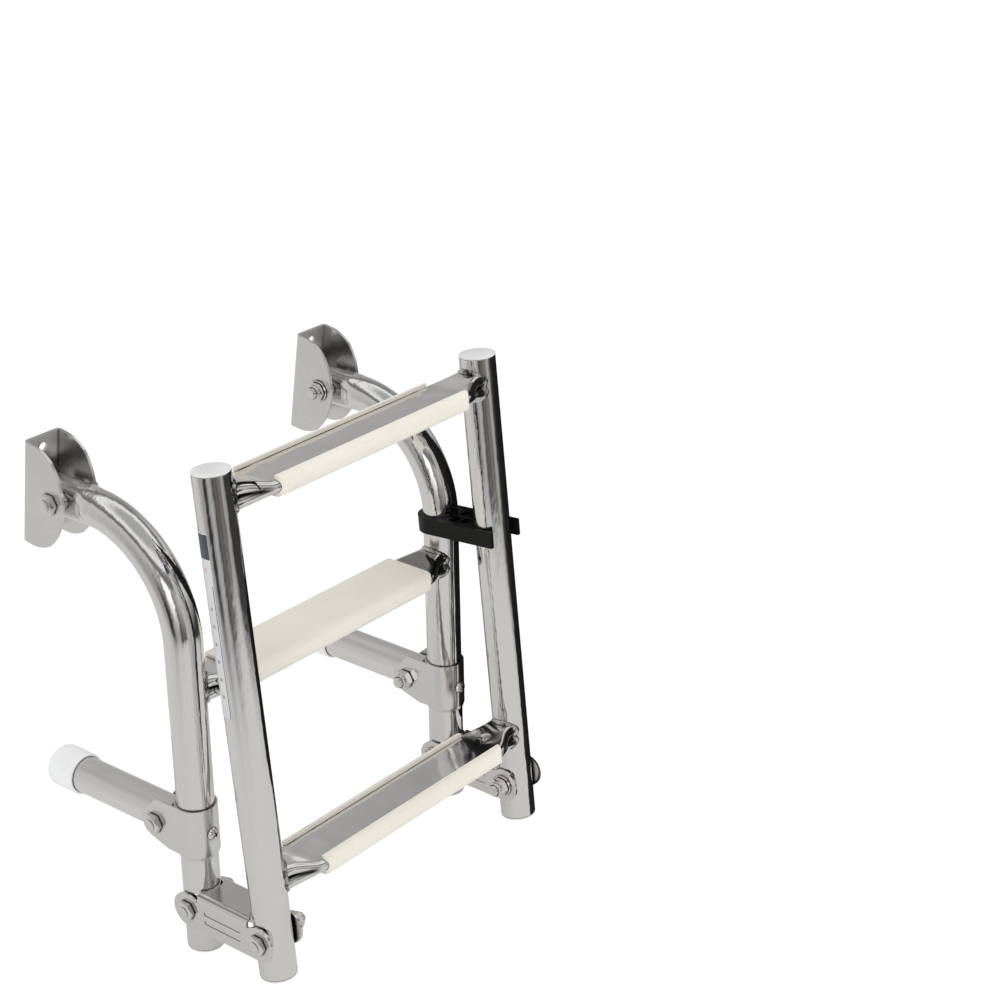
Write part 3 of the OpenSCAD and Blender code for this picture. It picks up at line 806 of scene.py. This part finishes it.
def make_fasteners():
    link_head_top = 0.0037
    fastener_set("bracket", "right_bracket", (SWING_AXIS,), HEAD_TOP)
    fastener_set("link", "right_link", (LINK_AXIS, LOWER_AXIS), link_head_top)
    install_copy("bracket_bushes", "bush_set", EDGES["bush"], bolt_finish)


def turned_pair(profile, matrix, count=64):
    """A solid turned from a profile, on the centre lines of both rails."""
    shape = Shape()
    for side in SIDES.values():
        shape.add(lathe(profile, count), matrix @ Matrix.Translation((side * HALF, 0, 0)))
    return shape


def make_plugs():
    """Rimmed plugs that close the ends of the rails beside the links."""
    lip, reach = 0.0016, 0.009
    fit, inset, edge = 0.0001, 0.0002, 0.0005    # gap in the bore, step in from the tube, chamfer
    for node, matrix in (("upper_rail_plugs", LADDER @ Matrix.Translation((0, -PROJECTION, 0))),
                         ("lower_rail_plugs", LOWER)):
        bottom = span(node, matrix)[0].z
        top = bottom + lip
        rim = [(TUBE_R - inset - edge, bottom), (TUBE_R - inset, bottom + edge),
               (TUBE_R - inset, top - 0.0003), (BORE_R, top - 0.0003)]
        inside = [(BORE_R - fit, top), (BORE_R - fit, top + reach)]
        piece = mesh_piece(node + "_set", turned_pair(rim + inside, matrix))
        install(piece, node, plug_white)


def make_foot_caps():
    """Domed caps in the free ends of the lower rails."""
    fit, edge, collar, dome_steps = 0.0001, 0.0002, 0.0009, 15
    low, high = span("foot_caps", LOWER)
    base = span("right_lower_rail", LOWER)[1].z
    rise = high.z - base
    angles = [math.pi / 2 * i / dome_steps for i in range(1, dome_steps)]
    dome = [(TUBE_R * math.cos(t), base + collar + (rise - collar) * math.sin(t)) for t in angles]
    stem = [(BORE_R - fit, low.z), (BORE_R - fit, base), (TUBE_R - edge, base), (TUBE_R, base + edge)]
    piece = mesh_piece("foot_cap_set", turned_pair(stem + dome, LOWER, 72))
    install(piece, "foot_caps", plug_white)


def cap_profile(outer, inside, mouth, end):
    """Section of a rubber cup with rounded edges, open at mouth and closed at end."""
    lead_in, mouth_r, end_r, base = 0.0006, 0.0012, 0.0046, 0.0026
    vent = outer * 0.06                          # small hole through the middle of the end
    return [(inside, mouth + lead_in), (inside + lead_in, mouth)] \
        + arc(outer - mouth_r, mouth + mouth_r, mouth_r, -90, 0, 4) \
        + arc(outer - end_r, end - end_r, end_r, 0, 90, 10) \
        + [(outer * 0.35, end - 0.0001), (vent, end), (vent, end - base), (inside, end - base)]


def make_standoff(name, place):
    """Tube and rubber cap along Z of place."""
    node = f"{name}_standoff_tube"
    low, high = span(node, place)
    shape = Shape().add(tube_solid(straight_stations(low.z, high.z)), place)
    install(mesh_piece(f"{name}_standoff_sleeve", shape), node, dull_tube)

    node = f"{name}_standoff_cap"
    low, high = span(node, place)
    profile = cap_profile((high.x - low.x) / 2, TUBE_R + 0.00005, low.z, high.z)
    shape = Shape().add(lathe(profile, 80, close=True), place)
    install(mesh_piece(f"{name}_cap", shape), node, rubber)


def make_clamp(name, side, pivot):
    """Clamp, its set screw, and the standoff's bolt and nut."""
    clamp, screw = f"{name}_clamp", f"{name}_clamp_screw"
    install_copy(clamp, f"{name}_clamp_sheet", EDGES["clamp"], clamp_steel)
    install_copy(screw, f"{name}_set_screw", EDGES["set_screw"], bolt_finish)
    seat = outer_end(clamp) - HALF - 0.0002
    length = HALF + seat - inner_end(f"{name}_clamp_bolt")
    nut_h = HALF - seat - inner_end(f"{name}_clamp_nut") - NUT_COLLAR
    bolt, nut = Shape(), Shape()
    bolt_shape(bolt, pivot, side, seat, length)
    nut_shape(nut, pivot, side, seat, nut_h)
    install(mesh_piece(f"{name}_pivot_bolt", bolt), f"{name}_clamp_bolt", bolt_finish)
    install(mesh_piece(f"{name}_pivot_nut", nut), f"{name}_clamp_nut", bolt_finish)


def make_standoffs():
    for name, side in SIDES.items():
        pivot = Matrix.Translation(JOINTS[f"{name}_standoff_tilt"]["pos_m"]) @ LEANING
        make_standoff(name, pivot @ Matrix.Rotation(-math.pi / 2, 4, "X"))
        make_clamp(name, side, pivot)


def make_sheet_parts():
    for side in SIDES:
        bracket, link = f"{side}_bracket", f"{side}_link"
        install_copy(bracket, bracket + "_sheet", EDGES["bracket"], satin)
        install_copy(link, link + "_sheet", EDGES["link"], clamp_steel)
    for node in ("clip_body", "clip_clasp"):
        install_copy(node, node + "_moulding", EDGES["clip"], clip_black)


def make_label():
    """Film wrapped round the left lower rail, with its own flat UV map."""
    start, end = math.radians(75), math.radians(192)
    inner, outer = TUBE_R + 0.00002, TUBE_R + 0.0002
    across, along = 28, 12
    low, high = span("rail_label", LOWER)
    mesh = bpy.data.meshes.new("label_sleeve")
    bm = bmesh.new()
    uv = bm.loops.layers.uv.new("UVMap")
    place, layers = {}, []
    for radius in (inner, outer):
        rows = []
        for j in range(along + 1):
            z = low.z + (high.z - low.z) * j / along
            turns = [start + (end - start) * i / across for i in range(across + 1)]
            row = [bm.verts.new(LOWER @ Vector((-HALF + radius * math.cos(a), radius * math.sin(a), z)))
                   for a in turns]
            place.update((vert, (i / across, j / along)) for i, vert in enumerate(row))
            rows.append(row)
        layers.append(rows)
    for rows in layers:
        for j in range(along):
            for i in range(across):
                bm.faces.new((rows[j][i], rows[j][i + 1], rows[j + 1][i + 1], rows[j + 1][i]))
    for a, b in zip(grid_rim(layers[0]), grid_rim(layers[1])):
        bm.faces.new((a[0], a[1], b[1], b[0]))
    for face in bm.faces:
        for loop in face.loops:
            loop[uv].uv = place[loop.vert]
    bmesh.ops.recalc_face_normals(bm, faces=bm.faces)
    bm.to_mesh(mesh)
    bm.free()
    install(shown("label_sleeve", mesh, 40), "rail_label", film)


def grid_rim(rows):
    """Edges round a grid of vertices, in order."""
    loop = rows[0] + [row[-1] for row in rows[1:]] + rows[-1][-2::-1] + [row[0] for row in rows[-2:0:-1]]
    return list(zip(loop, loop[1:] + loop[:1]))


# ---- studio ------------------------------------------------------------------------

VIEW_FROM = (-0.99952, -0.99657, 0.75680)
VIEW_YAW, VIEW_PITCH, VIEW_ROLL = (math.radians(a) for a in (54.335, -29.370, 7.210))
VIEW_LENS, SENSOR = 81.903, 36                   # mm

# The room that polished steel mirrors, round in degrees: 0 towards the camera, positive to its
# right.  Low down as (angle, tone, warmth), and in a strip above that as (angle, tone).
LOW_ROOM = [(-180, 0.50, 0), (-131, 0.60, 0.02), (-90, 0.66, 0.02), (-75, 0.56, 0.02),
            (-57, 0.40, 0.04), (-42, 0.34, 0.04), (-35, 0.045, 0.02), (-24, 0.042, 0),
            (-16, 0.33, 0), (-4, 0.50, 0), (6, 0.34, 0), (13, 0.075, 0.03), (22, 0.14, 0.06),
            (32, 0.11, 0.06), (44, 0.20, 0.06), (50, 0.13, 0.05), (60, 0.40, 0.03),
            (72, 0.36, 0.02), (80, 0.045, 0.02), (112, 0.045, 0.02), (150, 0.05, 0.02),
            (160, 0.50, 0)]
STRIP = [(-180, 0.30), (-168, 0.36), (-150, 0.66), (-26, 0.55), (-15, 0.26), (-9, 1.5), (7, 1.5),
         (13, 0.26), (30, 0.45), (60, 0.62), (150, 0.62), (172, 0.26)]
STRIP_WARMTH = 0.01
CEILING = [(0.45, 0.50, 0), (0.55, 0.16, 0.04), (0.62, 0.20, 0.03), (0.665, 0.30, 0),
           (0.70, 0.42, 0), (0.75, 0.95, 0), (0.86, 0.80, 0), (0.93, 0.45, 0)]   # by height


def make_camera():
    data = bpy.data.cameras.new("camera")
    data.lens = VIEW_LENS
    data.sensor_width = SENSOR
    data.dof.use_dof = False
    data.clip_start = 0.05
    camera = bpy.data.objects.new("camera", data)
    turn = Matrix.Rotation(-VIEW_YAW, 4, "Z") @ Matrix.Rotation(math.pi / 2 + VIEW_PITCH, 4, "X") \
        @ Matrix.Rotation(VIEW_ROLL, 4, "Z")
    camera.matrix_world = Matrix.Translation(VIEW_FROM) @ turn
    bpy.context.scene.collection.objects.link(camera)
    bpy.context.scene.camera = camera


def make_world():
    """Plain pale light, with the dim room that polished steel mirrors."""
    lit, seen, strength = (0.96, 0.965, 0.97, 1), (1.08, 1.08, 1.08, 1), 0.95
    low_to_strip, strip_to_ceiling = (-0.10, 0.34), (0.42, 0.52)      # heights of the changes
    toward = (-math.sin(VIEW_YAW), -math.cos(VIEW_YAW), 0)
    rightward = (math.cos(VIEW_YAW), -math.sin(VIEW_YAW), 0)
    world = bpy.data.worlds.new("studio")
    bpy.context.scene.world = world
    t = Tree(world)
    direction = t.add("ShaderNodeTexCoord").outputs["Generated"]

    def along(axis):
        return t.vector("DOT_PRODUCT", direction, axis).outputs["Value"]

    def round_room(stops):
        return t.ramp(turn, [((angle + 180) / 360, grey(tone, warmth)) for angle, tone, warmth in stops])

    azimuth = t.math("DIVIDE", t.math("ARCTAN2", along(rightward), along(toward)), 2 * math.pi)
    turn = t.math("ADD", azimuth, 0.5)
    low = round_room(LOW_ROOM)
    high = round_room([(angle, tone, STRIP_WARMTH) for angle, tone in STRIP])
    height = t.add("ShaderNodeSeparateXYZ", Vector=direction).outputs["Z"]
    room = t.mix(t.span(height, 0.0, 1.0, *low_to_strip), low.outputs[0], high.outputs[0])
    ceiling = t.ramp(height, [(z, grey(tone, warmth)) for z, tone, warmth in CEILING])
    overhead = t.mix(t.span(height, 0.0, 1.0, *strip_to_ceiling), room, ceiling.outputs[0])
    path = t.add("ShaderNodeLightPath")
    lighting = t.mix(path.outputs["Is Camera Ray"], lit, seen)
    colour = t.mix(path.outputs["Is Glossy Ray"], lighting, overhead)
    t.surface(t.add("ShaderNodeBackground", Color=colour, Strength=strength), "ShaderNodeOutputWorld")


def slab(name, level, half):
    """Flat square stage piece whose top is at level."""
    thickness = 0.01
    corners = ((-half, -half), (half, -half), (half, half), (-half, half))
    rings = [[(x, y, z) for x, y in corners] for z in (level - thickness, level)]
    piece = mesh_piece(name, Shape().add(skin(rings)))
    return piece


def reflection_only(piece):
    """Leaves a stage piece to be seen by glossy rays alone."""
    piece.visible_camera = False
    piece.visible_diffuse = False
    piece.visible_shadow = False
    piece.visible_transmission = False


def pale_surface(t, dark, light, strength):
    """Faintly mottled surface that is half matt and half a light of its own."""
    colour = t.ramp(t.noise(6.0, 2.0), [(0.3, dark), (0.7, light)])
    matt = t.add("ShaderNodeBsdfDiffuse", Color=colour)
    glow = t.add("ShaderNodeEmission", Color=colour, Strength=strength)
    return t.blend(0.5, matt, glow)


def make_floor():
    """Pale lit floor, below everything that the unfolded ladder reaches."""
    clear, half = 0.01, 8.0
    low_end = span("right_lower_rail", LOWER)[1].z
    reach = (LINK_AXIS - SWING_AXIS).length + (LOWER_AXIS - LINK_AXIS).length + low_end
    floor = slab("floor", SWING_AXIS.z - reach - clear, half)
    floor.visible_glossy = False
    t = Tree(material := bpy.data.materials.new("pale_floor"))
    t.surface(pale_surface(t, (0.93, 0.93, 0.935), (0.95, 0.95, 0.95), 1.25))
    floor.data.materials.append(material)


def make_reflector():
    """Pale oval under the folded ladder, seen only in the steel; the room shows past its edge."""
    below, half = 0.0005, 4.0
    oval_centre, oval_half = (-0.1, -0.8, 0), (0.70, 1.5, 1)
    inner, outer = 0.55, 1.20                    # its edge fades from one to the other, of its half
    reflector = slab("reflector", CAD_BOX[0].z - below, half)
    reflection_only(reflector)
    t = Tree(material := bpy.data.materials.new("pale_reflector"))
    pale = pale_surface(t, (0.675, 0.665, 0.65), (0.685, 0.675, 0.66), 0.9)
    place = t.add("ShaderNodeTexCoord").outputs["Object"]
    scaled = t.vector("DIVIDE", t.vector("SUBTRACT", place, oval_centre), oval_half)
    distance = t.vector("LENGTH", scaled).outputs["Value"]
    edge = t.span(distance, 0.0, 1.0, inner, outer)
    t.surface(t.blend(edge, pale, t.add("ShaderNodeBsdfTransparent")))
    reflector.data.materials.append(material)


def left_strips(section, top_end):
    """Where the left cards stand along a section: above each step, clear of the next."""
    step_gap = 0.022
    levels = sorted(middle(tread, section).z for own, tread in STEPS.values() if own is section)
    tops = [level - step_gap for level in levels[1:]] + [top_end]
    return [(level + step_gap, top) for level, top in zip(levels, tops)]


def make_flags():
    """Black cards to the right of each rail, seen only in the steel's reflections."""
    behind, thickness, past_end = 0.002, 0.001, 0.04
    left_ahead, right_ahead, link_ahead = 0.020, 0.042, 0.015   # narrower beside the flat link
    above_link = 0.020
    taper = 0.06                                 # the left cards run out to points
    offset = CAD_BOX[1].x + 0.0015 - HALF        # clear of the bolt heads
    t = Tree(material := bpy.data.materials.new("black_card"))
    t.finish(Base_Color=(0.006, 0.006, 0.006, 1), Roughness=0.9)
    for side_name, side in SIDES.items():
        x = side * HALF + offset
        for section, matrix, y in (("lower", LOWER, 0), ("upper", LADDER, -PROJECTION)):
            low, high = span(f"{side_name}_{section}_rail", matrix)
            bottom_end, top_end = low.z - past_end, high.z + past_end
            if side_name == "left":
                strips = [(*ends, left_ahead, taper) for ends in left_strips(matrix, top_end)]
            elif section == "upper":
                link_top = (matrix.inverted() @ LINK_AXIS).z + above_link
                strips = [(bottom_end, link_top, link_ahead, 0), (link_top, top_end, right_ahead, 0)]
            else:
                strips = [(bottom_end, top_end, right_ahead, 0)]
            cards = Shape()
            for bottom, top, front, cut in strips:
                outline = [(y - front, bottom + cut), (y + behind, bottom),
                           (y + behind, top), (y - front, top - cut)]
                cards.add(skin([[(x + d, v, w) for v, w in outline] for d in (0, thickness)]), matrix)
            card = mesh_piece(f"{side_name}_{section}_flag", cards)
            card.data.materials.append(material)
            reflection_only(card)


def make_light(name, place, target, size, power):
    """Round lamp that faces the target and isn't mirrored in the steel."""
    data = bpy.data.lights.new(name, "AREA")
    data.shape = "DISK"
    data.size = size
    data.energy = power
    light = bpy.data.objects.new(name, data)
    facing = (target - Vector(place)).to_track_quat("-Z", "Y").to_matrix().to_4x4()
    light.matrix_world = Matrix.Translation(place) @ facing
    light.visible_glossy = False
    bpy.context.scene.collection.objects.link(light)


def make_studio():
    bpy.context.scene.view_settings.view_transform = "Standard"
    centre = (CAD_BOX[0] + CAD_BOX[1]) / 2
    make_world()
    make_floor()
    make_reflector()
    make_flags()
    make_light("key", (-1.2, -0.3, 1.6), centre, size=0.9, power=6)
    make_light("fill", (0.6, -1.6, 0.9), centre, size=1.2, power=2)


make_camera()
make_rails()
make_steps()
make_fasteners()
make_plugs()
make_foot_caps()
make_standoffs()
make_sheet_parts()
make_label()
make_studio()
